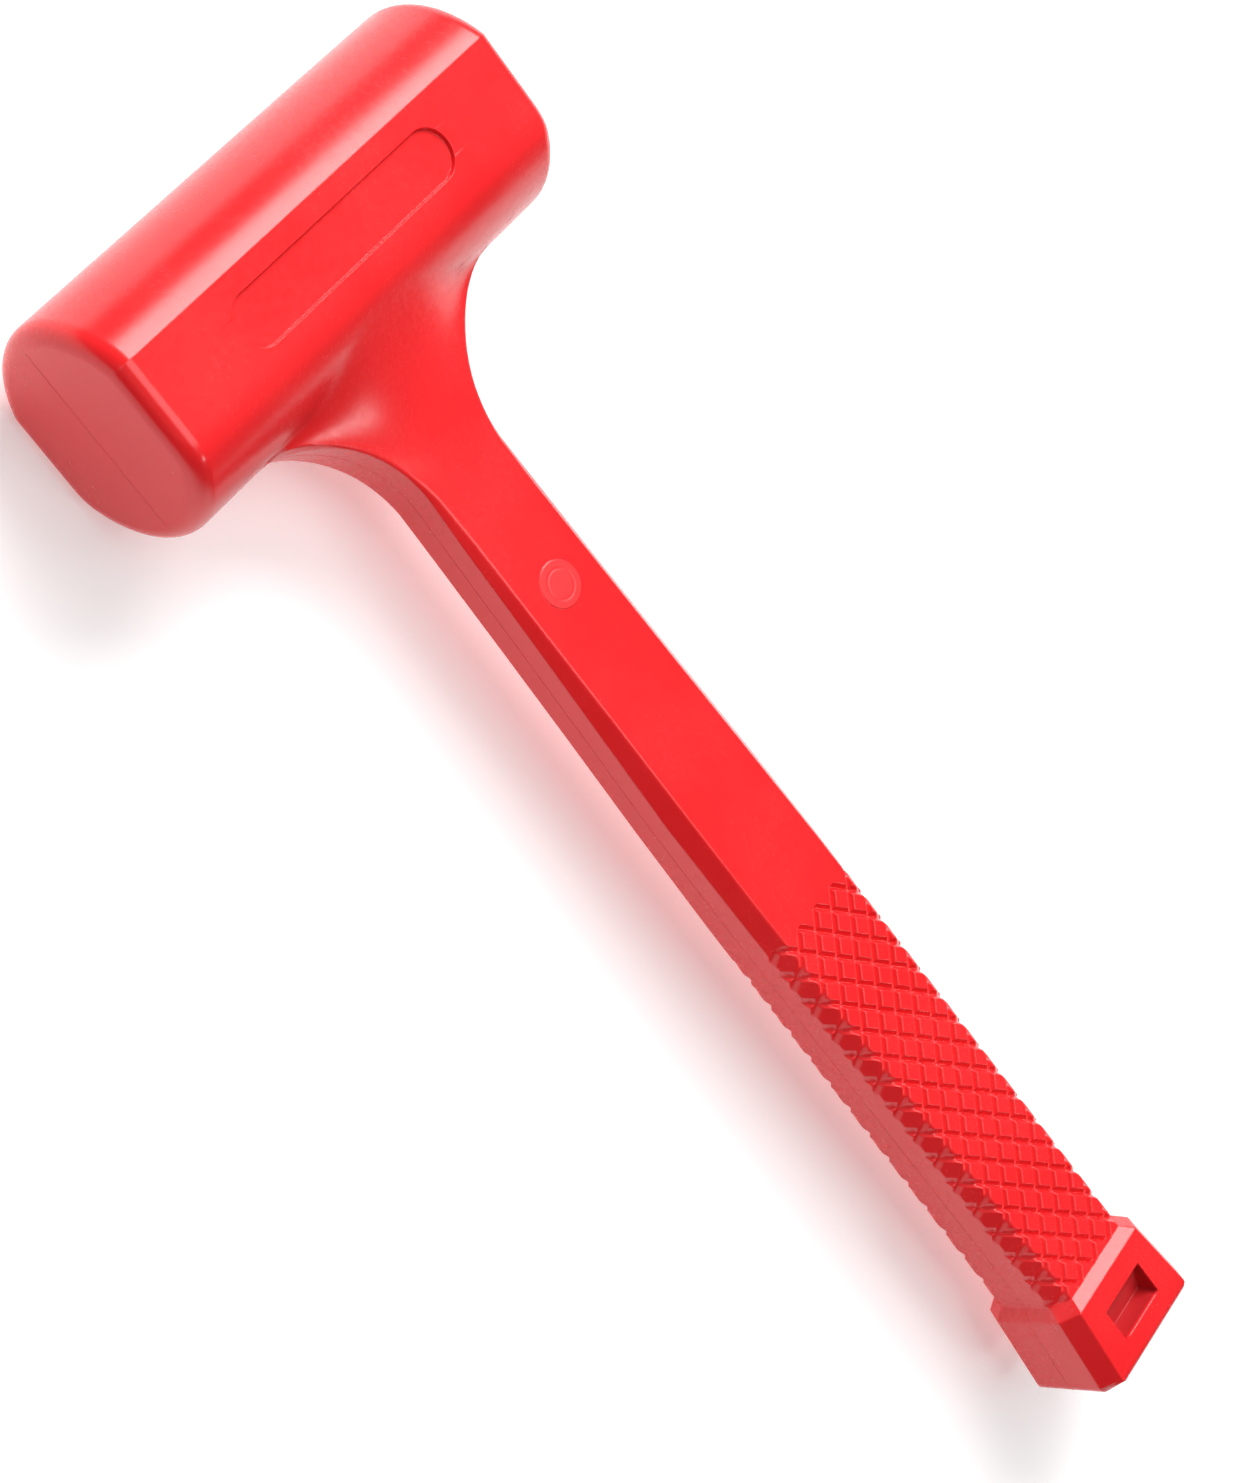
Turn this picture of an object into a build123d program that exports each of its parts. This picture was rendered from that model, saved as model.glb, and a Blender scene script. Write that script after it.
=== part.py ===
from build123d import *
import os
from math import atan2, cos, degrees, radians, sin, sqrt

# One-piece moulded dead blow hammer, lying on the back of its head.
# +X runs from the head to the butt, Y along the head from one striking face
# to the other, +Z out of the front. The origin is the middle of the bounding
# box, at the surface the hammer lies on. All sizes are in millimetres.

# ---------------------------------------------------------------- driving sizes
overall_length = 270.0

head_radius = 20.3
head_flat = 18.4          # from the head's axis to its front and back flats
head_length = 94.0
head_rim = 3.4            # rounding round each striking face

label_length = 53.2       # shallow recess on the front flat
label_width = 9.3
label_depth = 0.8

# The handle is an octagon: slimmest at the neck, widest at its middle, thickest
# at the butt. Every x below is measured from the head's axis.
handle_mid = 135.0
handle_half_thick = 7.9
thick_taper = 0.0228      # growth of the half thickness per millimetre towards the butt
chamfer_slope = 1.37      # the chamfer's height over its width
slim_x, slim_half_width, slim_chamfer = 52.0, 9.72, 1.15
swell_x, swell_half_width, swell_chamfer = 112.0, 11.8, 2.3
mid_half_width, mid_chamfer = 11.95, 2.35
grip_end_half_width, grip_end_chamfer = 11.55, 2.72

neck_radius = 24.0        # arc between the head and each narrow side, seen from the front
neck_end = 43.6           # where that arc meets the handle
crown_radius = 58.8       # hollow of the neck, seen from the side
crown_end = 45.4
crown_foot = 5.6          # half thickness that the hollow rises from
neck_edge = 6.0           # half thickness of the neck along its narrow sides
neck_chamfer = 0.6
neck_stations = (12, 16, 20.7, 22, 24, 26.5, 29.5, 33, 37, 41.5, 46, slim_x)

grip_start = 141.6
grip_pitch_x = 6.32
grip_pitch_y = 5.31
grip_rows = 14
groove_width = 1.1
groove_depth = 0.9
side_margin = 1.0         # how far the uncut core stands out past the narrow sides

block_bevel = 2.2         # length of the slope from the grip up to the butt block
block_half_thick = 11.85
block_half_width = 13.2   # at the head's end of the block
butt_half_width = 15.0
block_chamfer_y = 2.7
block_chamfer_z = 3.85
butt_bevel = 1.2
pocket_start = 236.9
pocket_length = 7.1
pocket_half_width = 6.05
pocket_depth = 4.2        # at the butt's end of its sloping floor
pocket_near_depth = 1.8   # at the head's end

emblem_x = 68.0
emblem_radius = 4.5
emblem_height = 0.25

tube_radius = 14.3
tube_wall = 1.5
tube_length = 72.0
lip = 1.6                 # the tube's rolled end, in over the cap
cap_thick = 2.4
cap_dish = 0.8

ball_radius = 3.0
ball_layers = 9
layer_pitch = 5.1
inner_ring, inner_count = 3.6, 3
outer_ring, outer_count = 9.5, 9

rod_radius = 4.0
socket_radius = 6.5
socket_end = 30.0
pin_radius = 1.5
pin_x = 24.0
key_groove_depth = 0.5
key_groove_width = 3.0
key_groove_count = 6
key_start = 146.0
key_spacing = 14.0
spigot_radius = 2.5
rivet_radius = 4.0
rivet_height = 1.6
washer_radius = 9.0
washer_thick = 2.0
washer_x = 233.2

# ---------------------------------------------------------------- worked-out sizes
head_x = -overall_length / 2 + head_radius
axis_z = head_flat
butt_x = overall_length - head_radius
grip_end = grip_start + grip_rows * grip_pitch_x
block_x = grip_end + block_bevel
handle_stations = (
    (slim_x, slim_half_width, slim_chamfer),
    (swell_x, swell_half_width, swell_chamfer),
    (handle_mid, mid_half_width, mid_chamfer),
    (grip_end, grip_end_half_width, grip_end_chamfer),
)
tube_bore = tube_radius - tube_wall
cap_outer = tube_length / 2 - lip
cap_inner = cap_outer - cap_thick

head_axis = Axis((head_x, 0, axis_z), (0, 1, 0))
pin_location = Location((head_x + pin_x, 0, axis_z), (90, 0, 0))


def station(x):
    """The plane across the handle at x, with Y to the right and Z up."""
    return Plane(origin=(head_x + x, 0, axis_z), x_dir=(0, 1, 0), z_dir=(1, 0, 0))


def front(z):
    """The plane seen from the front, z above the middle, centred on the head's axis."""
    return Plane(origin=(head_x, 0, axis_z + z))


def side(y=0):
    """The plane seen from the side: X to the right, Z up, its normal along -Y."""
    return Plane(origin=(head_x, y, axis_z), x_dir=(1, 0, 0), z_dir=(0, -1, 0))


def handle_size(x):
    """Half width, half thickness and the chamfer's width of the handle's octagon at x."""
    near, far = handle_stations[:2]
    for beyond in handle_stations[2:]:
        if x > far[0]:
            near, far = far, beyond
    share = (x - near[0]) / (far[0] - near[0])
    half_width, cut = (a + (b - a) * share for a, b in zip(near[1:], far[1:]))
    return half_width, handle_half_thick + thick_taper * (x - handle_mid), cut


def handle_octagon(x, wider=0, thinner=0):
    """x and the octagon's sizes there, its faces moved out or in but its chamfers in step."""
    half_width, half_thick, cut = handle_size(x)
    cut += wider + thinner * (sqrt(1 + chamfer_slope**2) - 1) / chamfer_slope
    return x, half_width + wider, half_thick - thinner, cut, cut * chamfer_slope


def octagon(half_width, half_thick, chamfer_y, chamfer_z):
    """A rectangle with its four corners cut off, as a closed line."""
    flat, edge = half_width - chamfer_y, half_thick - chamfer_z
    quarter = [(flat, half_thick), (half_width, edge)]
    lower = [(y, -z) for y, z in reversed(quarter)]
    return Polyline(*quarter, *lower, *[(-y, -z) for y, z in quarter + lower], close=True)


def tapered_octagon(near, far):
    """A flat-sided bar between two octagons, each given as x and octagon sizes."""
    (x0, width0, thick0, *_), (x1, width1, thick1, *_) = near, far
    with BuildPart() as bar:
        with BuildSketch(front(0)):
            with BuildLine():
                Polyline((x0, -width0), (x1, -width1), (x1, width1), (x0, width0), close=True)
            make_face()
        extrude(amount=2 * max(thick0, thick1), both=True)
        with BuildSketch(side()):
            with BuildLine():
                Polyline((x0, -thick0), (x1, -thick1), (x1, thick1), (x0, thick0), close=True)
            make_face()
        extrude(amount=2 * max(width0, width1), both=True, mode=Mode.INTERSECT)
        for y_sign in (-1, 1):
            for z_sign in (-1, 1):
                edge = [
                    Vector(head_x + x, y_sign * (width - cut_y), axis_z + z_sign * thick)
                    for x, width, thick, cut_y, _ in (near, far)
                ]
                across = Vector(0, y_sign * near[3], -z_sign * near[4])
                out = (edge[1] - edge[0]).cross(across)
                out *= y_sign if out.Y > 0 else -y_sign
                split(bisect_by=Plane(origin=edge[0], z_dir=out), keep=Keep.BOTTOM)
    return bar.part


def neck_section(x):
    """The neck's outline at x: crowned front and back, narrow flat sides."""
    half_width, half_thick, chamfer_full = handle_size(max(x, neck_end))
    reach = min(max(neck_end - x, 0), neck_radius * 0.985)
    half_width += neck_radius - sqrt(neck_radius**2 - reach**2)
    fade = min(max((x - 36) / 12, 0), 1)
    cut_y = neck_chamfer + (chamfer_full - neck_chamfer) * fade
    cut_z = neck_chamfer + (chamfer_full * chamfer_slope - neck_chamfer) * fade
    top = neck_edge + (half_thick - neck_edge) * fade
    foot = crown_foot + (half_thick - crown_foot) * min(max((x - 31) / 13, 0), 1)
    hollow = max(crown_end - x, 0)
    crown = max(foot + crown_radius - sqrt(crown_radius**2 - hollow**2), top)
    pull = top + (crown - top) * 4 / 3
    flat, edge = half_width - cut_y, top - cut_z
    Bezier((-flat, top), (-flat / 2, pull), (flat / 2, pull), (flat, top))
    Polyline((flat, top), (half_width, edge), (half_width, -edge), (flat, -top))
    Bezier((flat, -top), (flat / 2, -pull), (-flat / 2, -pull), (-flat, -top))
    Polyline((-flat, -top), (-half_width, -edge), (-half_width, edge), (-flat, top))


# ---------------------------------------------------------------- steel core
# Canister: a steel tube rolled in over a pressed cap at each end.
with BuildPart() as canister_tube:
    with BuildSketch(station(0)):
        with BuildLine():
            half = tube_length / 2
            Polyline(
                (-half, tube_bore - lip), (-half, tube_radius), (half, tube_radius),
                (half, tube_bore - lip), (cap_outer, tube_bore - lip),
                (cap_outer, tube_bore), (-cap_outer, tube_bore),
                (-cap_outer, tube_bore - lip), close=True,
            )
        make_face()
    revolve(axis=head_axis)
    fillet(canister_tube.edges().filter_by(GeomType.CIRCLE).group_by(SortBy.RADIUS)[-1], 1.0)

caps = {}
for name, sign in (("canister_cap_left", -1), ("canister_cap_right", 1)):
    with BuildPart() as cap:
        with BuildSketch(Plane.XZ.offset(-sign * cap_inner)):
            with Locations((head_x, axis_z)):
                Circle(tube_bore)
        extrude(amount=-sign * cap_thick)
        with BuildSketch(Plane.XZ.offset(-sign * (cap_outer - cap_dish))):
            with Locations((head_x, axis_z)):
                Circle(tube_bore * 0.65)
        extrude(amount=-sign * cap_dish, mode=Mode.SUBTRACT)
    caps[name] = cap

# Shot: loose steel balls in layers across the canister, each layer turned
# against the last so that the balls nest.
ball_centres = []
for layer in range(ball_layers):
    y = (layer - (ball_layers - 1) / 2) * layer_pitch
    turn = 60 * (layer % 2)
    for ring, count, lead in ((inner_ring, inner_count, 0), (outer_ring, outer_count, 20)):
        for ball in range(count):
            angle = radians(turn + lead + 360 * ball / count)
            ball_centres.append((head_x + ring * cos(angle), y, axis_z + ring * sin(angle)))
with BuildPart() as shot_charge:
    with Locations(*ball_centres):
        Sphere(ball_radius)

# Handle rod: round bar with rolled keys, riveted over a washer at the butt.
with BuildPart() as handle_rod:
    with BuildSketch(station(0)):
        Circle(rod_radius)
    extrude(amount=washer_x)
    with BuildSketch(side()):
        Circle(tube_radius)
    extrude(amount=tube_radius, both=True, mode=Mode.SUBTRACT)
    with BuildSketch(station(washer_x)):
        Circle(spigot_radius)
    extrude(amount=washer_thick)
    with BuildSketch(station(washer_x + washer_thick)):
        Circle(rivet_radius)
    extrude(amount=rivet_height)
    fillet(handle_rod.faces().sort_by(Axis.X)[-1].edges(), 0.9)
    for key in range(key_groove_count):
        with BuildSketch(station(key_start + key * key_spacing)):
            Circle(rod_radius)
            Circle(rod_radius - key_groove_depth, mode=Mode.SUBTRACT)
        extrude(amount=key_groove_width, mode=Mode.SUBTRACT)
    with Locations(pin_location):
        Cylinder(pin_radius, 4 * rod_radius, mode=Mode.SUBTRACT)

# Socket: a short tube, shaped to sit on the canister, that holds the rod.
with BuildPart() as rod_socket:
    with BuildSketch(station(0)):
        Circle(socket_radius)
        Circle(rod_radius, mode=Mode.SUBTRACT)
    extrude(amount=socket_end)
    with BuildSketch(side()):
        Circle(tube_radius)
    extrude(amount=tube_radius, both=True, mode=Mode.SUBTRACT)
    with Locations(pin_location):
        Cylinder(pin_radius, 4 * socket_radius, mode=Mode.SUBTRACT)

with BuildPart() as socket_pin:
    with Locations(pin_location):
        Cylinder(pin_radius, 2 * socket_radius)
    chamfer(socket_pin.edges(), 0.3)

with BuildPart() as rod_end_washer:
    with BuildSketch(station(washer_x)):
        Circle(washer_radius)
        Circle(spigot_radius, mode=Mode.SUBTRACT)
    extrude(amount=washer_thick)


# ---------------------------------------------------------------- moulded jacket
# Grip pattern: two crossing families of grooves. They are cut to one depth
# below the faces and the chamfers, and stop at the narrow sides.
grip_core = tapered_octagon(
    handle_octagon(grip_start - 1, side_margin, groove_depth),
    handle_octagon(grip_end + 1, side_margin, groove_depth),
)
slope = degrees(atan2(grip_pitch_y, grip_pitch_x))
reach = mid_half_width + handle_half_thick
groove_nodes = range(-3, grip_rows + 4)
with BuildPart() as grip_grooves:
    with BuildSketch(front(0)):
        with Locations(*[(grip_start + node * grip_pitch_x, 0) for node in groove_nodes]):
            Rectangle(4 * reach, groove_width, rotation=slope)
            Rectangle(4 * reach, groove_width, rotation=-slope)
        with Locations(((grip_start + grip_end) / 2, 0)):
            Rectangle(grip_end - grip_start, 2 * reach, mode=Mode.INTERSECT)
    extrude(amount=reach, both=True)
    add(grip_core, mode=Mode.SUBTRACT)

block_near, block_far = (
    (x, half_width, block_half_thick, block_chamfer_y, block_chamfer_z)
    for x, half_width in ((block_x, block_half_width), (butt_x, butt_half_width))
)
handle_octagons = [handle_octagon(x) for x, *_ in handle_stations]
butt_block = tapered_octagon(block_near, block_far)

with BuildPart() as jacket:
    with BuildSketch(side()):
        Circle(head_radius)
        Rectangle(2 * head_radius, 2 * head_flat, mode=Mode.INTERSECT)
    extrude(amount=head_length / 2, both=True)
    rims = jacket.faces().filter_by(Axis.Y).edges()
    fillet(rims, head_rim)

    for x in neck_stations:
        with BuildSketch(station(x)):
            with BuildLine():
                neck_section(x)
            make_face()
    loft()

    for near, far in zip(handle_octagons, handle_octagons[1:]):
        add(tapered_octagon(near, far))
    for x, *sizes in (handle_octagon(grip_end), block_near):
        with BuildSketch(station(x)):
            with BuildLine():
                octagon(*sizes)
            make_face()
    loft(ruled=True)
    add(butt_block)
    chamfer(jacket.faces().sort_by(Axis.X)[-1].edges(), butt_bevel)

    with BuildSketch(front(head_flat)):
        SlotOverall(label_length, label_width, rotation=90)
    extrude(amount=-label_depth, mode=Mode.SUBTRACT)

    with BuildSketch(side()):
        with BuildLine():
            pocket_end = pocket_start + pocket_length
            Polyline(
                (pocket_start, block_half_thick + 1),
                (pocket_start, block_half_thick - pocket_near_depth),
                (pocket_end, block_half_thick - pocket_depth),
                (pocket_end, block_half_thick + 1), close=True,
            )
        make_face()
    extrude(amount=pocket_half_width, both=True, mode=Mode.SUBTRACT)

    emblem_z = handle_size(emblem_x)[1]
    with BuildSketch(Plane(
        origin=(head_x + emblem_x, 0, axis_z + emblem_z),
        x_dir=(1, 0, thick_taper), z_dir=(-thick_taper, 0, 1),
    )):
        Circle(emblem_radius)
    extrude(amount=emblem_height, both=True)

    add(grip_grooves.part, mode=Mode.SUBTRACT)

    # The core is moulded in, so its own shape is the cavity.
    with Locations(Location((head_x, 0, axis_z), (90, 0, 0))):
        Cylinder(tube_bore, 2 * cap_inner, mode=Mode.SUBTRACT)
    for core in (canister_tube, *caps.values(), rod_socket, socket_pin, handle_rod, rod_end_washer):
        add(core.part, mode=Mode.SUBTRACT)


# ---------------------------------------------------------------- pieces
pieces = {
    "jacket": jacket,
    "canister_tube": canister_tube,
    **caps,
    "shot_charge": shot_charge,
    "rod_socket": rod_socket,
    "socket_pin": socket_pin,
    "handle_rod": handle_rod,
    "rod_end_washer": rod_end_washer,
}
os.makedirs("parts", exist_ok=True)
for name, piece in pieces.items():
    piece.part.label = name
    export_step(piece.part, f"parts/{name}.step")
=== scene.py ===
from math import acos, cos, pi, radians, sin, sqrt

import bmesh
import bpy
import numpy as np
from mathutils import Matrix, Vector
from mathutils.geometry import delaunay_2d_cdt


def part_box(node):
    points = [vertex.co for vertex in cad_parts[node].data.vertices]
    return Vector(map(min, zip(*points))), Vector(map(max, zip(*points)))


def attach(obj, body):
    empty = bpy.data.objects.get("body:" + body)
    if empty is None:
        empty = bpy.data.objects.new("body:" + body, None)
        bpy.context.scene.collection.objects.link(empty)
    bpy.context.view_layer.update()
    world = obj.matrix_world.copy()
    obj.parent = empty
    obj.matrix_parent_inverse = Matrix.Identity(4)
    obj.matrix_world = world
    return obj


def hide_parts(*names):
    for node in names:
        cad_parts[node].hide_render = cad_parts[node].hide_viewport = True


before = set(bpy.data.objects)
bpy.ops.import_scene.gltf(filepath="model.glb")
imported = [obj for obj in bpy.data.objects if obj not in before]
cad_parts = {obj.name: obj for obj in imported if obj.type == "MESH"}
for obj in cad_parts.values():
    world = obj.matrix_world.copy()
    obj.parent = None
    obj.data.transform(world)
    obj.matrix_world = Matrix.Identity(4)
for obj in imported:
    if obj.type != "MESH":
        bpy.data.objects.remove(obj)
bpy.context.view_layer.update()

MM = 0.001

# ------------------------------------------------------------------ sizes, in millimetres
# Worked in the hammer's own axes: x from the head's axis to the butt, y along the head,
# z out of the front from the middle plane.
JACKET_LOW, JACKET_HIGH = (Vector(corner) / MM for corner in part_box("jacket"))
TUBE_LOW, TUBE_HIGH = (Vector(corner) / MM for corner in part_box("canister_tube"))
HEAD_X = (TUBE_LOW.x + TUBE_HIGH.x) / 2
AXIS_Z = (TUBE_LOW.z + TUBE_HIGH.z) / 2
HEAD_RADIUS = HEAD_X - JACKET_LOW.x
HEAD_FLAT = JACKET_HIGH.z - AXIS_Z
HEAD_HALF = JACKET_HIGH.y
BUTT_X = JACKET_HIGH.x - HEAD_X
RIM = 3.4
CREASE_ROUND = 0.1        # the flats' edges away from the handle are crisp
CREASE_SOFT = 1.2         # and soft towards it

LABEL_HALF, LABEL_RADIUS, LABEL_DEPTH = 26.6, 4.65, 0.8

HANDLE_MID = 135.0
HALF_THICK, THICK_TAPER = 7.9, 0.0228
WIDTH_X = (43.6, 52, 72, 92, 112, 135, 185, 230.08)
WIDTHS = (9.42, 9.72, 10.3, 11.0, 11.75, 11.95, 11.72, 11.55)
SIDE_X = (30, 36, 43.6, *WIDTH_X[1:])
SIDE_LEVELS = (5.6, 5.35, 4.9, 4.7, 4.55, 4.37, 4.3, 4.75, 5.6, 6.3)
CHAMFER_SLOPES = (1.2, 1.05, 0.9, 0.88, 1.1, 1.17, 1.2, 1.31, 1.38, 1.45)
EDGE_ROUND = 0.4

NECK_RADIUS = 24.0        # plan arc from the head into each narrow side
NECK_LEVEL = 5.6
NECK_END = 46.0
EDGE_FADE = (15.0, 37.0)  # where the narrow side sinks into the head, across the hammer
STEEPER = (13.0, 31.0)    # where its chamfer leans up against the head
STEEPER_BY = 3.0          # and by how many times its slope it does
JOIN_SOFT = 0.8           # web in the corner between the head and the neck
JOIN_X = (17.0, 19.4)     # and where it starts along the hammer,
JOIN_Y = (14.0, 20.0)     # starts across it,
JOIN_FADE = 32.0          # and starts to end
CROWN_RADIUS, CROWN_MIN = 58.8, 2.5
CROWN_SPREAD, CROWN_POWER = 14.3, 2.2

LABEL_WALL = (-0.24, 0.1)   # the recess's side wall, from its floor to the head's flat
EMBLEM_X, EMBLEM_RADIUS, EMBLEM_HEIGHT = 68.2, 4.3, 0.16
EMBLEM_WALL = 0.3
RING_RADIUS = EMBLEM_RADIUS * 0.62
RING_HALF = (0.1, 0.42)     # half width of the ring's floor and of its rim
RING_DEPTH = EMBLEM_HEIGHT * 0.5

GRIP_START, PITCH_X, PITCH_Y, GRIP_ROWS = 141.6, 6.32, 5.31, 14
GRIP_END = GRIP_START + GRIP_ROWS * PITCH_X
GROOVE_DEPTH, CHAMFER_GROOVE = 0.95, 0.85
GROOVE_FLOOR, GROOVE_REACH, GROOVE_SOFT = 0.12, 0.7, 0.28
GRIP_BEFORE, GRIP_AFTER = 0.3, 0.1   # how far the grooves' ends run out past the grip

BLOCK_SLOPE = 2.2
BLOCK_X = GRIP_END + BLOCK_SLOPE
BLOCK_THICK, BLOCK_WIDTH, BUTT_WIDTH = 11.85, 13.2, 15.0
BLOCK_CHAMFER_Y, BLOCK_CHAMFER_Z = 2.7, 3.85
BUTT_ROUND = 2.0
BLOCK_TOP_ROUND, BLOCK_EDGE_ROUND = 0.15, 0.25
POCKET_X, POCKET_LENGTH, POCKET_HALF, POCKET_DEPTH = 236.9, 7.1, 6.05, 4.2
POCKET_NEAR_DEPTH = 1.8
POCKET_DRAFT, POCKET_BUTT_DRAFT = 0.6, 1.5
POCKET_FOOT, POCKET_LIP = 0.2, 0.12

LIP_DROP, LIP_WIDTH = 0.2, 0.16   # rounding of the front's edge into the side walls
SEAM_HALF, SEAM_PROUD, SEAM_LEAN = 0.22, 0.04, 0.7
THIN = 1e-3               # half thickness below which front and back share a point

GROOVE_ANGLE = np.arctan2(PITCH_Y, PITCH_X)
GROOVE_SPACING = PITCH_X * sin(GROOVE_ANGLE)


def handle_width(x):
    return float(np.interp(x, WIDTH_X, WIDTHS))


def handle_thick(x):
    return HALF_THICK + THICK_TAPER * (x - HANDLE_MID)


def side_level(x):
    """Half height of the narrow side."""
    return np.interp(x, SIDE_X, SIDE_LEVELS)


def chamfer_slope(x):
    return np.interp(x, SIDE_X, CHAMFER_SLOPES)


def handle_chamfer(x):
    """Width of the chamfer, seen from the front."""
    return float((handle_thick(x) - side_level(x)) / chamfer_slope(x))


NECK_X = WIDTH_X[0]
NECK_Y = WIDTHS[0] + NECK_RADIUS
NECK_START = acos((NECK_X - HEAD_RADIUS) / NECK_RADIUS)
ROUND_X = BUTT_X - BUTT_ROUND


def step(low, high, value):
    t = np.clip((value - low) / (high - low), 0, 1)
    return t * t * (3 - 2 * t)


def lower_of(a, b, soft):
    """The smaller height, with the edge between the two rounded."""
    return np.minimum(a, b) - np.maximum(soft - np.abs(a - b), 0) ** 2 / (4 * soft)


# ------------------------------------------------------------------ the jacket's half thickness
def half_width(x):
    """Half width of the handle and block, seen from the front."""
    return np.interp(x, (*WIDTH_X, BLOCK_X, BUTT_X), (*WIDTHS, BLOCK_WIDTH, BUTT_WIDTH))


def inset(x, y):
    """How far the rim has drawn the head's section in at y."""
    over = np.clip(np.abs(y) - (HEAD_HALF - RIM), 0, RIM)
    return RIM - np.sqrt(RIM**2 - over**2)


def head_height(x, y):
    drawn_in = inset(x, y)
    round_ = np.sqrt(np.maximum((HEAD_RADIUS - drawn_in) ** 2 - x**2, 0))
    soft = np.where(x < 0, CREASE_ROUND, CREASE_SOFT)
    return lower_of(HEAD_FLAT - drawn_in, round_, soft)


def neck_height(x, y):
    """A hollow fillet from head to handle whose radius falls off to both sides."""
    spread = np.exp(-((np.abs(y) / CROWN_SPREAD) ** CROWN_POWER))
    radius = CROWN_MIN + (CROWN_RADIUS - CROWN_MIN) * spread
    foot = np.sqrt((HEAD_RADIUS + radius) ** 2 - (NECK_LEVEL + radius) ** 2)
    top = HEAD_RADIUS * foot / (HEAD_RADIUS + radius)
    hollow = NECK_LEVEL + radius - np.sqrt(radius**2 - np.clip(foot - x, 0, radius) ** 2)
    level = (handle_thick(x) - NECK_LEVEL) * step(HEAD_RADIUS, NECK_END, x)
    return np.where(x < top, head_height(x, y), hollow + level)


def side_distance(x, y):
    """Distance in plan to the narrow side."""
    y = np.abs(y)
    arc = np.hypot(x - NECK_X, y - NECK_Y) - NECK_RADIUS
    near_head = np.where(y < NECK_Y, arc, HEAD_RADIUS - x)
    return np.maximum(np.where(x < NECK_X, near_head, half_width(x) - y), 0)


def wall_distance(x, y):
    """Distance in plan to the nearest side wall, butt end included."""
    side, end = side_distance(x, y), BUTT_X - x
    corner = BUTT_ROUND - np.hypot(BUTT_ROUND - side, BUTT_ROUND - end)
    in_corner = (side < BUTT_ROUND) & (end < BUTT_ROUND)
    return np.maximum(np.where(in_corner, corner, np.minimum(side, end)), 0)


def groove_share(x, y):
    """1 on the floor of a groove, 0 on the pads."""
    share = np.zeros_like(x)
    for sign in (-1, 1):
        across = (x - GRIP_START) * sin(GROOVE_ANGLE) + sign * y * cos(GROOVE_ANGLE)
        off = np.abs(across - GROOVE_SPACING * np.round(across / GROOVE_SPACING))
        sunk = lower_of((GROOVE_REACH - off) / (GROOVE_REACH - GROOVE_FLOOR), 1, GROOVE_SOFT)
        share = np.maximum(share, -lower_of(-sunk, 0, GROOVE_SOFT))
    start = step(GRIP_START - GRIP_BEFORE, GRIP_START + GRIP_AFTER, x)
    end = step(GRIP_END + GRIP_AFTER, GRIP_END - GRIP_BEFORE, x)
    return share * (start * end)


def handle_height(x, y):
    away = side_distance(x, y)
    front = neck_height(x, y)
    slope = chamfer_slope(x) * (1 + STEEPER_BY * step(*STEEPER, np.abs(y)))
    edge = side_level(x) * (1 - step(*EDGE_FADE, np.abs(y))) + away * slope
    pads = lower_of(front, edge, EDGE_ROUND)
    floor = lower_of(front - GROOVE_DEPTH, edge - GROOVE_DEPTH * CHAMFER_GROOVE, EDGE_ROUND)
    return pads + (floor - pads) * groove_share(x, y)


def block_height(x, y):
    over = np.clip(x - ROUND_X, 0, BUTT_ROUND)
    drop = BUTT_ROUND - np.sqrt(BUTT_ROUND**2 - over**2)
    rise = np.clip((x - GRIP_END) / (BLOCK_X - GRIP_END), 0, 1)
    grip_thick = handle_thick(GRIP_END)
    slope = grip_thick + (BLOCK_THICK - grip_thick) * (x - GRIP_END) / BLOCK_SLOPE
    top = lower_of(slope, BLOCK_THICK, BLOCK_TOP_ROUND) - drop
    grip_cut = handle_chamfer(GRIP_END)
    cut_y = grip_cut * (1 - rise) + BLOCK_CHAMFER_Y * rise
    cut_z = grip_cut * chamfer_slope(GRIP_END) * (1 - rise) + BLOCK_CHAMFER_Z * rise
    flat = grip_thick * (1 - rise) + BLOCK_THICK * rise
    steep = cut_z / cut_y
    chamfer = flat - cut_z + (half_width(x) - np.abs(y)) * steep
    chamfer -= drop * np.sqrt(1 + steep**2)
    return lower_of(top, chamfer, BLOCK_EDGE_ROUND)


def plain_height(x, y):
    """Height of the jacket's back; the front adds its label, emblem and pocket."""
    walled = np.where(x < GRIP_END, handle_height(x, y), block_height(x, y))
    share = 1 - np.clip(wall_distance(x, y) / LIP_WIDTH, 0, 1)
    stand = np.clip(walled / 4, 0, 1)
    walled = walled - LIP_DROP * stand * (1 - np.sqrt(np.maximum(1 - share**2, 0)))
    head = head_height(x, y)
    across = np.abs(y)
    blend = step(*JOIN_X, x) * step(*JOIN_Y, across)
    blend = blend * (1 - step(JOIN_FADE, EDGE_FADE[1], across))
    web = np.maximum(JOIN_SOFT - np.abs(head - walled), 0) ** 2 / (4 * JOIN_SOFT)
    in_neck = (across < EDGE_FADE[1]) & (x > 0)
    joined = np.where(in_neck, np.maximum(head, walled) + blend * web, head)
    return np.where(x < HEAD_RADIUS, joined, walled)


def label_distance(x, y):
    past = np.maximum(np.abs(y) - (LABEL_HALF - LABEL_RADIUS), 0)
    return np.hypot(x, past) - LABEL_RADIUS


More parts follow.
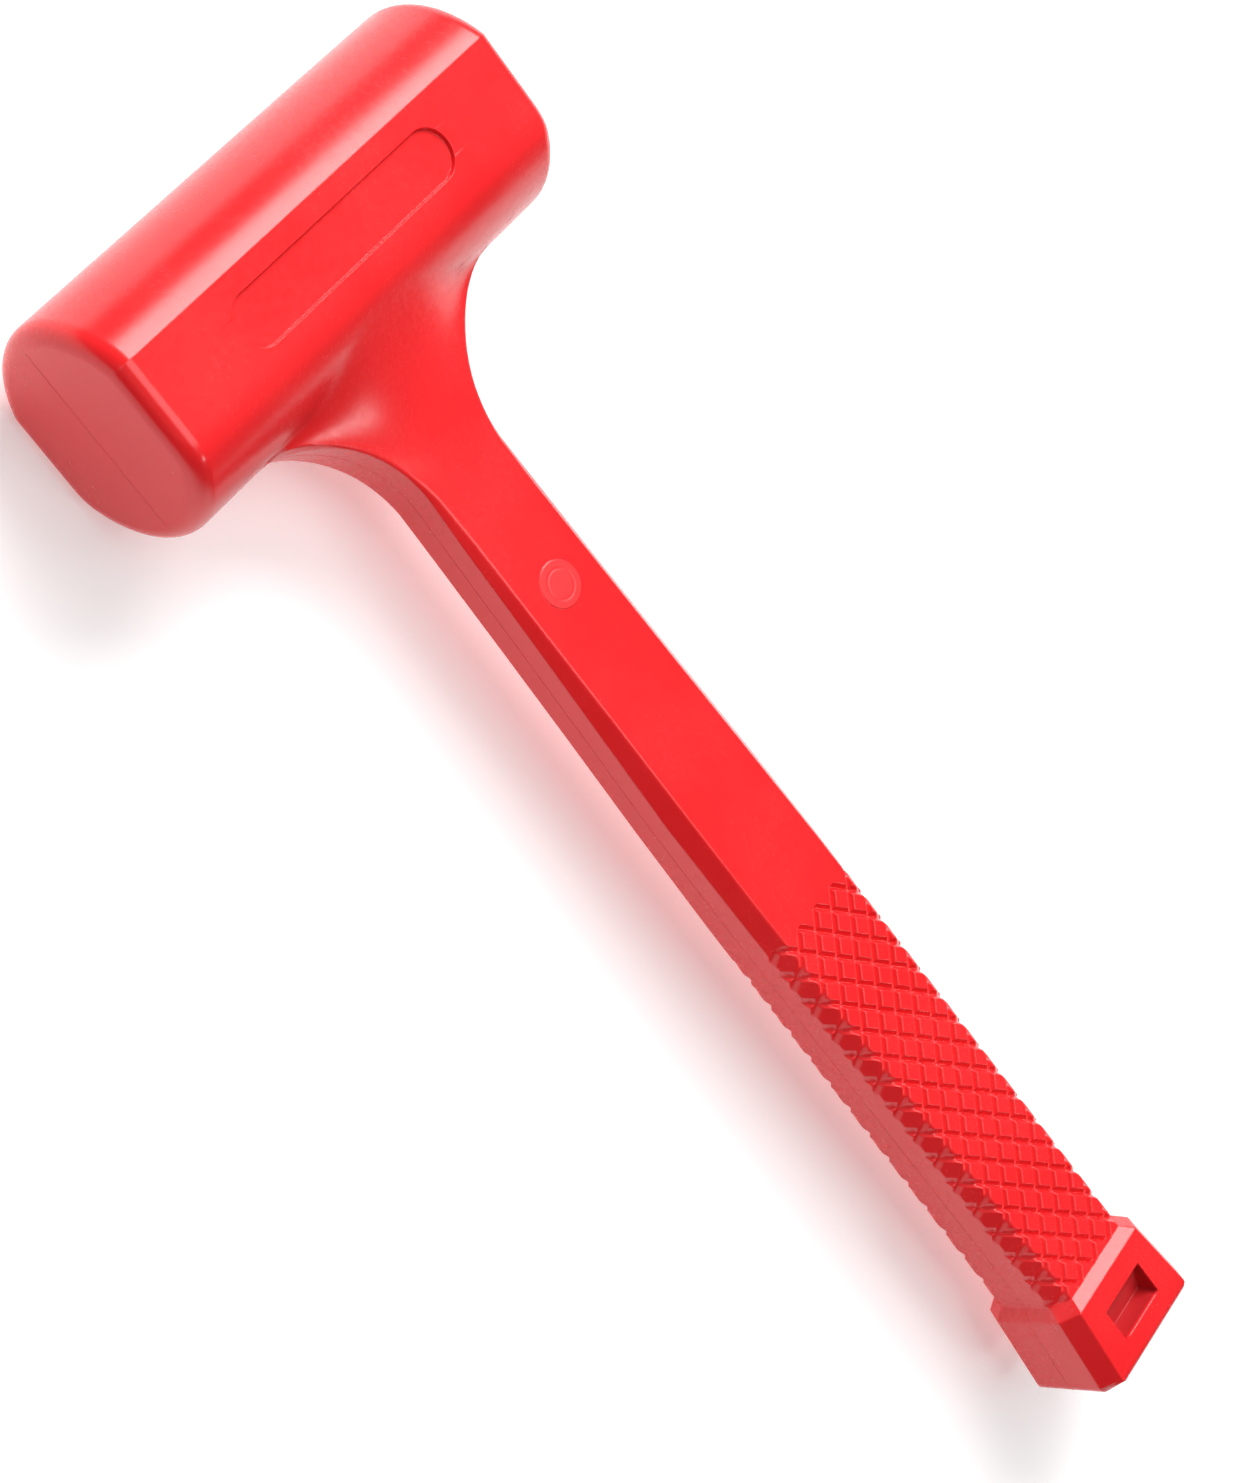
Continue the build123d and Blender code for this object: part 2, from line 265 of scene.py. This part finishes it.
def front_height(x, y):
    height = plain_height(x, y)
    height = height - LABEL_DEPTH * (1 - step(*LABEL_WALL, label_distance(x, y)))
    off = np.hypot(x - EMBLEM_X, y)
    height = height + EMBLEM_HEIGHT * (1 - step(EMBLEM_RADIUS - EMBLEM_WALL, EMBLEM_RADIUS, off))
    ring = np.abs(off - RING_RADIUS)
    height = height - RING_DEPTH * (1 - step(*RING_HALF, ring))
    depths = [
        (x - POCKET_X) * POCKET_DEPTH / POCKET_DRAFT,
        (POCKET_X + POCKET_LENGTH - x) * POCKET_DEPTH / POCKET_BUTT_DRAFT,
        (POCKET_HALF - np.abs(y)) * POCKET_DEPTH / POCKET_DRAFT,
    ]
    ramp = np.clip((x - POCKET_X) / POCKET_LENGTH, -0.1, 1.1)
    depth = POCKET_NEAR_DEPTH + (POCKET_DEPTH - POCKET_NEAR_DEPTH) * ramp
    for wall in depths:
        depth = lower_of(depth, wall, POCKET_FOOT)
    return lower_of(height, BLOCK_THICK - depth, POCKET_LIP)


# ------------------------------------------------------------------ the jacket's plan
def head_lines():
    """Meridians along the head, drawn in round both rims, and the rows that cross them."""
    crease = sqrt(HEAD_RADIUS**2 - HEAD_FLAT**2)
    lean = acos(crease / HEAD_RADIUS)
    far = [-HEAD_RADIUS * cos(a) for a in np.linspace(0, lean, 15)[1:-1]]
    far += [-crease - 0.24, -crease - 0.12, -crease, -crease + 0.12, -crease + 0.24]
    near = [-7.2, -5.2, -2.6, 0, 2.6, 5.2, 6.0, 6.8, 7.6, 8.2, crease, 9.2, 9.9, 10.9]
    near += [HEAD_RADIUS * cos(a) for a in np.linspace(0, lean, 15)[1:-3]]
    rims = [radians(a) for a in range(0, 91, 10)]

    def drawn_in(x, amount):
        radius, flat = HEAD_RADIUS - amount, HEAD_FLAT - amount
        edge = sqrt(radius**2 - flat**2)
        if abs(x) <= crease:
            return x * edge / crease
        angle = acos(abs(x) / HEAD_RADIUS) / lean * acos(edge / radius)
        return np.sign(x) * radius * cos(angle)

    lines = []
    for x in far + near:
        rim = [
            (drawn_in(x, RIM - RIM * cos(a)), HEAD_HALF - RIM + RIM * sin(a)) for a in rims
        ]
        lines.append([(x, y) for y in range(0, 43, 6)] + rim)
    for a in rims[:-1]:
        amount = RIM - RIM * cos(a)
        row = [(drawn_in(x, amount), HEAD_HALF - RIM + RIM * sin(a)) for x in sorted(far + near)]
        end = HEAD_RADIUS - amount
        lines.append([(-end, row[0][1])] + row + [(end, row[0][1])])
    return lines


def outline():
    """Half of the jacket's outline, from the far side of the head to the butt."""
    side = HEAD_HALF - RIM
    quarter = np.radians(range(0, 91, 10))
    rim = [(HEAD_RADIUS - RIM + RIM * cos(a), side + RIM * sin(a)) for a in quarter]
    points = [(-HEAD_RADIUS, y) for y in range(0, 43, 6)]
    points += [(-x, y) for x, y in rim]
    points += rim[::-1]
    points += [(HEAD_RADIUS, y) for y in (40, 38.5, 37, 36, 35, 34, 33, 32, 31, 30, 29)]
    points += neck_row(0)
    points += [*zip(WIDTH_X[1:], WIDTHS[1:]), (BLOCK_X, BLOCK_WIDTH)]
    side = float(half_width(ROUND_X))
    points.append((ROUND_X, side))
    for a in np.radians(range(10, 91, 10)):
        spread = side - BUTT_ROUND + BUTT_ROUND * cos(a)
        points.append((ROUND_X + BUTT_ROUND * sin(a), spread))
    points.append((BUTT_X, 0))
    return points


def neck_row(away):
    """The arc from the head into the handle's narrow side, at a distance inside it."""
    arc = []
    for a in np.linspace(NECK_START, pi / 2, 46):
        reach = NECK_RADIUS + away
        arc.append((NECK_X - reach * cos(a), NECK_Y - reach * sin(a)))
    return arc


def grip_lines():
    """Both families of grooves, each groove as the lines its profile bends along."""
    lines = []
    steps = [
        GROOVE_REACH + (GROOVE_FLOOR - GROOVE_REACH) * t
        for t in (1 + GROOVE_SOFT * 0.6, 1, 1 - GROOVE_SOFT, GROOVE_SOFT, 0, -GROOVE_SOFT)
    ]
    run = np.array((cos(GROOVE_ANGLE), sin(GROOVE_ANGLE)))
    normal = np.array((sin(GROOVE_ANGLE), -cos(GROOVE_ANGLE)))
    for groove in range(-6, GRIP_ROWS + 7):
        for off in [-s for s in steps[::-1]] + steps:
            start = np.array((GRIP_START + groove * PITCH_X, 0)) + normal * off
            low, high = GRIP_START - GRIP_BEFORE, GRIP_END + GRIP_AFTER
            t = sorted(((low - start[0]) / run[0], (high - start[0]) / run[0]))
            wide = BUTT_WIDTH / run[1]
            t = (max(t[0], -wide), min(t[1], wide))
            if t[0] < t[1]:
                lines.append([tuple(start + run * t[0]), tuple(start + run * t[1])])
    return lines


def ring(x, radius):
    angles = np.linspace(0, 2 * pi, 49)
    return [(x + radius * cos(a), radius * sin(a)) for a in angles]


def obround(grow):
    radius = LABEL_RADIUS + grow
    straight = LABEL_HALF - LABEL_RADIUS
    half = [(radius * cos(a), straight + radius * sin(a)) for a in np.linspace(0, pi, 25)]
    return half + [(-x, -y) for x, y in half] + half[:1]


def box_line(x0, x1, half):
    corners = [(x0, -half), (x1, -half), (x1, half), (x0, half), (x0, -half)]
    line = []
    for (xa, ya), (xb, yb) in zip(corners, corners[1:]):
        line += [(xa + (xb - xa) * t / 9, ya + (yb - ya) * t / 9) for t in range(9)]
    return line + corners[:1]


def fill(x0, x1, y0, y1, spacing, margin=0.3):
    points = []
    for row, x in enumerate(np.arange(x0, x1, spacing * 0.87)):
        for y in np.arange(y0 + spacing / 2 * (row % 2), y1, spacing):
            if side_distance(x, y) > margin or x < HEAD_RADIUS:
                points.append((x, y))
    return points


def plan():
    """All plan lines and loose points: (points, edges, closed outline)."""
    points, edges = [], []

    def add_line(line):
        first = len(points)
        points.extend(line)
        edges.extend((first + i, first + i + 1) for i in range(len(line) - 1))

    def add_both(line):
        add_line(line)
        add_line([(x, -y) for x, y in line])

    half = outline()
    add_both(half)
    for line in head_lines():
        add_both(line)
    for away in (0.05, 0.16, 0.35, 0.6, 0.9, 1.3, 1.8, 2.4, 3.1):
        add_both(neck_row(away))
    stations = (*np.arange(NECK_X, 54, 1.5), *np.arange(55, GRIP_START, 6.0), GRIP_END)
    for away in (0.04, 0.09, LIP_WIDTH):
        add_both([(x, float(half_width(x)) - away) for x in (*WIDTH_X, BLOCK_X, ROUND_X)])
    for off in (-0.42, -0.21, 0, 0.21, 0.42):
        add_both([(x, handle_width(x) - handle_chamfer(x) + off) for x in stations])
        add_both([
            (GRIP_END, handle_width(GRIP_END) - handle_chamfer(GRIP_END) + off),
            (BLOCK_X, BLOCK_WIDTH - BLOCK_CHAMFER_Y + off),
            (ROUND_X, float(half_width(ROUND_X)) - BLOCK_CHAMFER_Y + off),
            (BUTT_X, BUTT_WIDTH - BUTT_ROUND - BLOCK_CHAMFER_Y + off),
        ])
    for x in (*stations[3:-1], GRIP_END, BLOCK_X, ROUND_X):
        for off in (-0.2, 0, 0.2) if x > GRIP_START else (0,):
            side = float(half_width(x + off))
            add_line([(x + off, -side), (x + off, side)])
    for end in (GRIP_START, GRIP_END):
        for off in (-GRIP_BEFORE, -0.17, -0.03, GRIP_AFTER):
            side = handle_width(end + off)
            add_line([(end + off, -side), (end + off, side)])
    for a in np.radians((15, 30, 42, 53, 62, 70, 77, 83)):
        x = ROUND_X + BUTT_ROUND * sin(a)
        y = BUTT_WIDTH - BUTT_ROUND + BUTT_ROUND * cos(a) - 0.1
        add_line([(x, -y), (x, y)])
    for line in grip_lines():
        add_both(line)
    for grow in (LABEL_WALL[0], -0.17, -0.1, -0.03, 0.03, LABEL_WALL[1]):
        add_line(obround(grow))
    for off in (-EMBLEM_WALL, -0.2, -0.1, 0):
        add_line(ring(EMBLEM_X, EMBLEM_RADIUS + off))
    for off in (-RING_HALF[1], -0.2, 0, 0.2, RING_HALF[1]):
        add_line(ring(EMBLEM_X, RING_RADIUS + off))
    for grow in (-0.12, 0, 0.06, 0.18, 0.3, 0.42, 0.52, 0.62, 0.74):
        add_line(box_line(
            POCKET_X + grow, POCKET_X + POCKET_LENGTH - grow * 2.5, POCKET_HALF - grow
        ))
    points.extend(fill(11.5, 50, -32, 32, 1.1))
    for sign in (-1, 1):
        points.extend((x, sign * y) for x, y in fill(16.6, 24.5, 12, 38, 0.45, 0.05))
    closed = half + [(x, -y) for x, y in reversed(half)]
    return points, edges, closed


def inside(closed, x, y):
    hits = np.zeros(len(x), bool)
    for (x0, y0), (x1, y1) in zip(closed, closed[1:] + closed[:1]):
        crosses = (y0 > y) != (y1 > y)
        if y0 != y1:
            hits ^= crosses & (x < (x1 - x0) * (y - y0) / (y1 - y0) + x0)
    return hits


def surface_normals(height, x, y):
    tiny = 1e-4
    dx = (height(x + tiny, y) - height(x - tiny, y)) / (2 * tiny)
    dy = (height(x, y + tiny) - height(x, y - tiny)) / (2 * tiny)
    normals = np.stack((-dx, -dy, np.ones_like(dx)), 1)
    return normals / np.linalg.norm(normals, axis=1)[:, None]


def jacket_skin():
    """The outer surface as positions, normals and faces, in the hammer's own axes."""
    points, edges, closed = plan()
    flat, _, triangles, *_ = delaunay_2d_cdt(
        [Vector(p) for p in points], edges, [], 0, 1e-4
    )
    spots = np.array([tuple(v) for v in flat])
    tris = np.array([tuple(t) for t in triangles])
    middle = spots[tris].mean(1)
    tris = tris[inside(closed, middle[:, 0], middle[:, 1])]
    used, tris = np.unique(tris, return_inverse=True)
    tris = tris.reshape(-1, 3)
    spots = spots[used]
    a, b, c = (spots[tris[:, i]] for i in range(3))
    turned = (b[:, 0] - a[:, 0]) * (c[:, 1] - a[:, 1]) < (b[:, 1] - a[:, 1]) * (c[:, 0] - a[:, 0])
    tris[turned] = tris[turned][:, ::-1]
    x, y = spots[:, 0], spots[:, 1]
    top, low = front_height(x, y), plain_height(x, y)
    top_normals = surface_normals(front_height, x, y)
    low_normals = surface_normals(plain_height, x, y)

    directed = {(t[i], t[(i + 1) % 3]): True for t in tris for i in range(3)}
    rim = [(i, j) for i, j in directed if (j, i) not in directed]
    out = np.zeros((len(spots), 2))
    for i, j in rim:
        along = spots[j] - spots[i]
        normal = np.array((along[1], -along[0])) / np.linalg.norm(along)
        out[i] += normal
        out[j] += normal
    on_rim = np.unique(np.array(rim))
    out[on_rim] /= np.linalg.norm(out[on_rim], axis=1)[:, None]

    positions = [np.stack((x, y, top), 1), np.stack((x, y, -low), 1)]
    total = len(spots)
    low_normals[:, 2] *= -1
    for i in on_rim:
        top_normals[i] = low_normals[i] = (*out[i], 0)
    normals = [top_normals, low_normals]
    low_index = np.arange(total) + total
    thin = [i for i in on_rim if top[i] < THIN]
    low_index[thin] = thin
    faces = [tuple(t) for t in tris]
    faces += [(low_index[t[0]], low_index[t[2]], low_index[t[1]]) for t in tris]

    # side walls, with the mould's seam round the middle
    rows = (
        (SEAM_HALF, 0, 0),
        (SEAM_HALF / 2, SEAM_PROUD, SEAM_LEAN),
        (-SEAM_HALF / 2, SEAM_PROUD, -SEAM_LEAN),
        (-SEAM_HALF, 0, 0),
    )
    extra, extra_normals, ladder = [], [], {}
    next_index = 2 * total
    for i in on_rim:
        if top[i] < THIN:
            ladder[i] = [i] * 6
            continue
        rungs = [i]
        size = min(1, top[i] / 2)
        for z, proud, lean in rows:
            spot = spots[i] + out[i] * proud * size
            extra.append((*spot, z * size))
            tilted = np.array((*out[i], lean))
            extra_normals.append(tilted / np.linalg.norm(tilted))
            rungs.append(next_index)
            next_index += 1
        ladder[i] = rungs + [i + total]
    for i, j in rim:
        for k in range(5):
            corners = [ladder[j][k], ladder[i][k], ladder[i][k + 1], ladder[j][k + 1]]
            corners = list(dict.fromkeys(corners))
            if len(corners) > 2:
                faces.append(tuple(corners))
    positions = np.concatenate(positions + [np.array(extra)])
    normals = np.concatenate(normals + [np.array(extra_normals)])
    return positions, normals, faces


def cavity():
    """The inner surface of the CAD jacket, where the steel core is moulded in."""
    shell = bmesh.new()
    shell.from_mesh(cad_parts["jacket"].data)
    bmesh.ops.remove_doubles(shell, verts=shell.verts, dist=2e-6)
    left = set(shell.faces)
    islands = []
    while left:
        front = [left.pop()]
        island = list(front)
        while front:
            for edge in front.pop().edges:
                for face in edge.link_faces:
                    if face in left:
                        left.discard(face)
                        front.append(face)
                        island.append(face)
        islands.append(island)
    outer = max(islands, key=len)
    bmesh.ops.delete(shell, geom=outer, context="FACES")
    shell.normal_update()
    vertices = list(shell.verts)
    index = {v: i for i, v in enumerate(vertices)}
    spots = [tuple(v.co) for v in vertices]
    normals = [tuple(v.normal) for v in vertices]
    faces = [tuple(index[v] for v in f.verts) for f in shell.faces]
    shell.free()
    return spots, normals, faces


def make_jacket():
    positions, normals, faces = jacket_skin()
    world = (positions + np.array((HEAD_X, 0, AXIS_Z))) * MM
    spots, inner_normals, inner_faces = cavity()
    base = len(world)
    world = np.concatenate((world, np.array(spots)))
    normals = np.concatenate((normals, np.array(inner_normals)))
    faces += [tuple(i + base for i in f) for f in inner_faces]
    used = sorted({i for f in faces for i in f})
    place = {old: new for new, old in enumerate(used)}
    mesh = bpy.data.meshes.new("hammer_jacket")
    mesh.from_pydata(world[used].tolist(), [], [tuple(place[i] for i in f) for f in faces])
    mesh.polygons.foreach_set("use_smooth", [True] * len(mesh.polygons))
    mesh.normals_split_custom_set_from_vertices(normals[used].tolist())
    mesh.update()
    piece = bpy.data.objects.new("hammer_jacket", mesh)
    bpy.context.scene.collection.objects.link(piece)
    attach(piece, "hammer")
    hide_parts("jacket")
    return piece


jacket = make_jacket()


# ------------------------------------------------------------------ materials
def set_range(nodes, low, high, to_low, to_high):
    """A smooth ramp from to_low at low to to_high at high."""
    node = nodes.new("ShaderNodeMapRange")
    node.interpolation_type = "SMOOTHSTEP"
    numbers = {"From Min": low, "From Max": high, "To Min": to_low, "To Max": to_high}
    for name, number in numbers.items():
        node.inputs[name].default_value = number
    return node


class Shader:
    """A material's node tree, with short calls for the nodes used here."""

    def __init__(self, name):
        self.material = bpy.data.materials.new(name)
        self.material.use_nodes = True
        self.nodes = self.material.node_tree.nodes
        self.links = self.material.node_tree.links
        self.bsdf = self.nodes["Principled BSDF"]
        coordinates = self.nodes.new("ShaderNodeTexCoord")
        self.place = coordinates.outputs["Object"]

    def put(self, socket, value):
        if isinstance(value, bpy.types.NodeSocket):
            self.links.new(value, socket)
        else:
            socket.default_value = value

    def noise(self, scale, detail=3, roughness=0.55, stretch=None):
        node = self.nodes.new("ShaderNodeTexNoise")
        node.inputs["Scale"].default_value = scale
        node.inputs["Detail"].default_value = detail
        node.inputs["Roughness"].default_value = roughness
        place = self.place
        if stretch:
            mapping = self.nodes.new("ShaderNodeMapping")
            mapping.inputs["Scale"].default_value = stretch
            self.links.new(place, mapping.inputs["Vector"])
            place = mapping.outputs["Vector"]
        self.links.new(place, node.inputs["Vector"])
        return node.outputs["Fac"]

    def ramp(self, value, low, high, to_low, to_high):
        node = set_range(self.nodes, low, high, to_low, to_high)
        self.links.new(value, node.inputs["Value"])
        return node.outputs["Result"]

    def math(self, operation, a, b):
        node = self.nodes.new("ShaderNodeMath")
        node.operation = operation
        self.put(node.inputs[0], a)
        self.put(node.inputs[1], b)
        return node.outputs["Value"]

    def mix(self, share, a, b):
        node = self.nodes.new("ShaderNodeMix")
        node.data_type = "RGBA"
        self.put(node.inputs["Factor"], share)
        self.put(node.inputs[6], a)
        self.put(node.inputs[7], b)
        return node.outputs[2]

    def bump(self, height, strength, distance, below=None):
        node = self.nodes.new("ShaderNodeBump")
        node.inputs["Strength"].default_value = strength
        node.inputs["Distance"].default_value = distance
        self.links.new(height, node.inputs["Height"])
        if below:
            self.links.new(below, node.inputs["Normal"])
        return node.outputs["Normal"]


def linear(red, green, blue):
    """An 8-bit sRGB colour as the linear values that sockets take, opaque."""
    values = []
    for channel in (red, green, blue):
        c = channel / 255
        values.append(c / 12.92 if c <= 0.04045 else ((c + 0.055) / 1.055) ** 2.4)
    return (*values, 1.0)


# how strongly a painted sheen lightens the emblem's colour, and how much roughness haze the emblem
# and pocket get
EMBLEM_PAINTED_SHEEN, HAZE = 0.35, 0.18


def red_plastic():
    """Semi-gloss red, with a spark-eroded haze on the emblem and in the pocket, a painted sheen
    (lighter pink) on the emblem and painted shade (darker red) in the pocket.
    """
    s = Shader("moulded_red_plastic")
    cloud = s.noise(28, 4)
    fine = s.noise(900, 3, 0.5)
    colour = s.mix(s.ramp(cloud, 0.35, 0.65, 0, 1), linear(240, 38, 42), linear(245, 44, 48))
    place = s.nodes.new("ShaderNodeSeparateXYZ")
    s.links.new(s.place, place.inputs["Vector"])
    along, across, up = (place.outputs[axis] for axis in "XYZ")

    def within(value, middle, half, soft):
        off = s.math("ABSOLUTE", s.math("SUBTRACT", value, middle * MM), 0)
        return s.ramp(off, half * MM, (half + soft) * MM, 1, 0)

    disc = s.math("POWER", s.math("SUBTRACT", along, (HEAD_X + EMBLEM_X) * MM), 2)
    disc = s.math("SQRT", s.math("ADD", disc, s.math("POWER", across, 2)), 0)
    emblem = s.ramp(disc, (EMBLEM_RADIUS - EMBLEM_WALL) * MM, EMBLEM_RADIUS * MM, 1, 0)
    emblem = s.math("MULTIPLY", emblem, s.math("GREATER_THAN", up, AXIS_Z * MM))
    # painted shade: this mask darkens the colour inside the pocket, below the block's top, where
    # the recess lies in shade; it also adds real roughness haze there
    pocket = within(along, HEAD_X + POCKET_X + POCKET_LENGTH / 2, POCKET_LENGTH / 2, 0.3)
    pocket = s.math("MULTIPLY", pocket, within(across, 0, POCKET_HALF, 0.3))
    top = (AXIS_Z + BLOCK_THICK) * MM
    pocket = s.math("MULTIPLY", pocket, s.ramp(up, top - 0.6 * MM, top - 0.1 * MM, 1, 0))
    pocket = s.math("MULTIPLY", pocket, s.math("GREATER_THAN", up, AXIS_Z * MM))
    # painted shade: darker red down in the pocket
    colour = s.mix(pocket, colour, linear(192, 26, 32))
    # painted sheen: the emblem's face is mixed towards a lighter pink, standing in for the light
    # its rougher face spreads; its roughness haze below is real
    colour = s.mix(s.math("MULTIPLY", emblem, EMBLEM_PAINTED_SHEEN), colour, linear(240, 62, 64))
    s.put(s.bsdf.inputs["Base Color"], colour)
    rough = s.math("ADD", s.ramp(cloud, 0.3, 0.7, 0.22, 0.27), s.ramp(fine, 0.3, 0.7, -0.02, 0.03))
    haze = s.math("MULTIPLY", s.math("MAXIMUM", emblem, pocket), HAZE)
    s.put(s.bsdf.inputs["Roughness"], s.math("ADD", rough, haze))
    s.bsdf.inputs["IOR"].default_value = 1.5
    waves = s.bump(s.noise(55, 2), 0.06, 0.0004)
    s.put(s.bsdf.inputs["Normal"], s.bump(fine, 0.015, 0.00002, waves))
    return s.material


def steel(name, base, worn, rough, stretch, scale):
    s = Shader(name)
    cloud = s.noise(scale, 5, 0.6)
    grain = s.noise(scale * 6, 4, 0.7, stretch)
    wear = s.ramp(cloud, 0.3, 0.7, 0, 1)
    s.put(s.bsdf.inputs["Base Color"], s.mix(wear, linear(*base), linear(*worn)))
    s.bsdf.inputs["Metallic"].default_value = 1.0
    s.put(s.bsdf.inputs["Roughness"], s.ramp(grain, 0.3, 0.7, rough, rough + 0.14))
    s.put(s.bsdf.inputs["Normal"], s.bump(grain, 0.25, 0.00008))
    return s.material


def dress(node, material):
    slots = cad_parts[node].material_slots
    if not slots:
        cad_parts[node].data.materials.append(material)
        return
    for slot in slots:
        slot.material = material


jacket.data.materials.append(red_plastic())
tube = steel("drawn_tube_steel", (176, 177, 180), (150, 151, 155), 0.28, (1, 0.06, 1), 90)
cap = steel("pressed_cap_steel", (166, 167, 171), (138, 139, 143), 0.34, (1, 1, 1), 110)
balls = steel("rolled_ball_steel", (196, 197, 200), (170, 171, 176), 0.16, (1, 1, 1), 260)
bar = steel("hot_rolled_bar_steel", (118, 119, 124), (84, 82, 84), 0.42, (0.08, 1, 1), 120)
zinc = steel("zinc_plated_steel", (196, 192, 178), (172, 170, 168), 0.3, (1, 1, 1), 180)
dress("canister_tube", tube)
dress("canister_cap_left", cap)
dress("canister_cap_right", cap)
dress("shot_charge", balls)
dress("rod_socket", zinc)
dress("socket_pin", zinc)
dress("handle_rod", bar)
dress("rod_end_washer", zinc)


# ------------------------------------------------------------------ floor, lights and camera
FLOOR_HALF = 6.0          # metres
LIGHT_TARGET = Vector((0, 0, 0.02))


def make_floor():
    half = FLOOR_HALF
    corners = [(-half, -half, 0), (half, -half, 0), (half, half, 0), (-half, half, 0)]
    mesh = bpy.data.meshes.new("floor")
    mesh.from_pydata(corners, [], [(0, 1, 2, 3)])
    floor = bpy.data.objects.new("floor", mesh)
    bpy.context.scene.collection.objects.link(floor)
    s = Shader("pale_floor")
    pale = s.mix(s.noise(6, 2), linear(226, 226, 226), linear(230, 230, 230))
    s.put(s.bsdf.inputs["Base Color"], pale)
    s.bsdf.inputs["Roughness"].default_value = 0.75
    s.bsdf.inputs["Emission Color"].default_value = (1, 1, 1, 1)
    s.bsdf.inputs["Emission Strength"].default_value = 0.38
    mesh.materials.append(s.material)


def add_light(name, direction, distance, width, height, power):
    """A softbox, in metres and watts, that faces the hammer from a direction."""
    data = bpy.data.lights.new(name, "AREA")
    data.shape = "RECTANGLE"
    data.size, data.size_y = width, height
    data.energy = power
    light = bpy.data.objects.new(name, data)
    bpy.context.scene.collection.objects.link(light)
    towards = Vector(direction).normalized()
    light.location = LIGHT_TARGET + towards * distance
    light.rotation_euler = towards.to_track_quat("Z", "Y").to_euler()


make_floor()
add_light("key_softbox", (-0.53, 0.51, 0.68), 1.3, 0.85, 0.85, 22)
add_light("top_softbox", (0.0, 0.05, 1.0), 1.5, 1.0, 1.0, 9)
add_light("fill_softbox", (-0.3, -0.75, 0.75), 1.4, 0.8, 0.8, 1.6)
add_light("side_softbox", (0.74, 0.07, 0.67), 1.4, 0.22, 0.22, 2)


def make_world():
    """A dim studio, a little lighter behind and over the hammer, with a white wall in view."""
    world = bpy.data.worlds.new("studio")
    world.use_nodes = True
    nodes, links = world.node_tree.nodes, world.node_tree.links
    place = nodes.new("ShaderNodeTexCoord")
    along = nodes.new("ShaderNodeVectorMath")
    along.operation = "DOT_PRODUCT"
    along.inputs[1].default_value = (0, 0.85, 0.5)
    links.new(place.outputs["Generated"], along.inputs[0])
    ramp = set_range(nodes, -0.45, 0.6, 0.001, 0.035)
    links.new(along.outputs["Value"], ramp.inputs["Value"])
    seen = nodes.new("ShaderNodeLightPath")
    brighter = nodes.new("ShaderNodeMath")
    brighter.operation = "MAXIMUM"
    links.new(ramp.outputs["Result"], brighter.inputs[0])
    links.new(seen.outputs["Is Camera Ray"], brighter.inputs[1])
    links.new(brighter.outputs["Value"], nodes["Background"].inputs["Strength"])
    nodes["Background"].inputs["Color"].default_value = (1, 1, 1, 1)
    bpy.context.scene.world = world


make_world()

CAMERA_AT = Vector((-182.8, -266.7, 424.9)) * MM
CAMERA_RIGHT = Vector((0.5803747, 0.5573511, 0.5937381))
CAMERA_UP = Vector((-0.7473301, 0.6541730, 0.1164277))
camera_data = bpy.data.cameras.new("camera")
camera_data.lens = 73.3
camera_data.sensor_width = 36.0
camera_data.clip_start = 0.01
camera = bpy.data.objects.new("camera", camera_data)
bpy.context.scene.collection.objects.link(camera)
back = CAMERA_RIGHT.cross(CAMERA_UP).normalized()
turn = Matrix((CAMERA_RIGHT, CAMERA_UP, back)).transposed().to_4x4()
camera.matrix_world = Matrix.Translation(CAMERA_AT) @ turn
bpy.context.scene.camera = camera
bpy.context.scene.view_settings.view_transform = "Standard"
